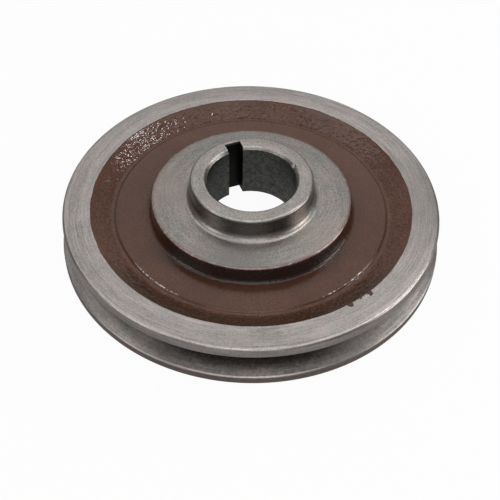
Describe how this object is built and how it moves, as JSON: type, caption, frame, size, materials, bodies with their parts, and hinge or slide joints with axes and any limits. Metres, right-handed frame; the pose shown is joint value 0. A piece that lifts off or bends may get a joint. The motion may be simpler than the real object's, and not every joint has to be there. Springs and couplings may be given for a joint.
{
  "type": "crankshaft pulley",
  "caption": "Cast iron crankshaft pulley with a V-belt groove, a dished painted web, a raised hub flange and a turned nose round a keyed bore.",
  "frame": {"origin": "on the bore axis, in the plane of the rim's back face, which the pulley rests on", "axes": "+Z along the bore axis towards the nose; +X and +Y across the rim, with the keyway 112 degrees from +X"},
  "size_m": [0.203, 0.203, 0.0408],
  "materials": {
    "casting": "bare turned rim, groove, hub face, nose and bore; dark red-brown primer on the cast web"
  },
  "bodies": {
    "root": {"pulley": "casting"}
  },
  "joints": []
}
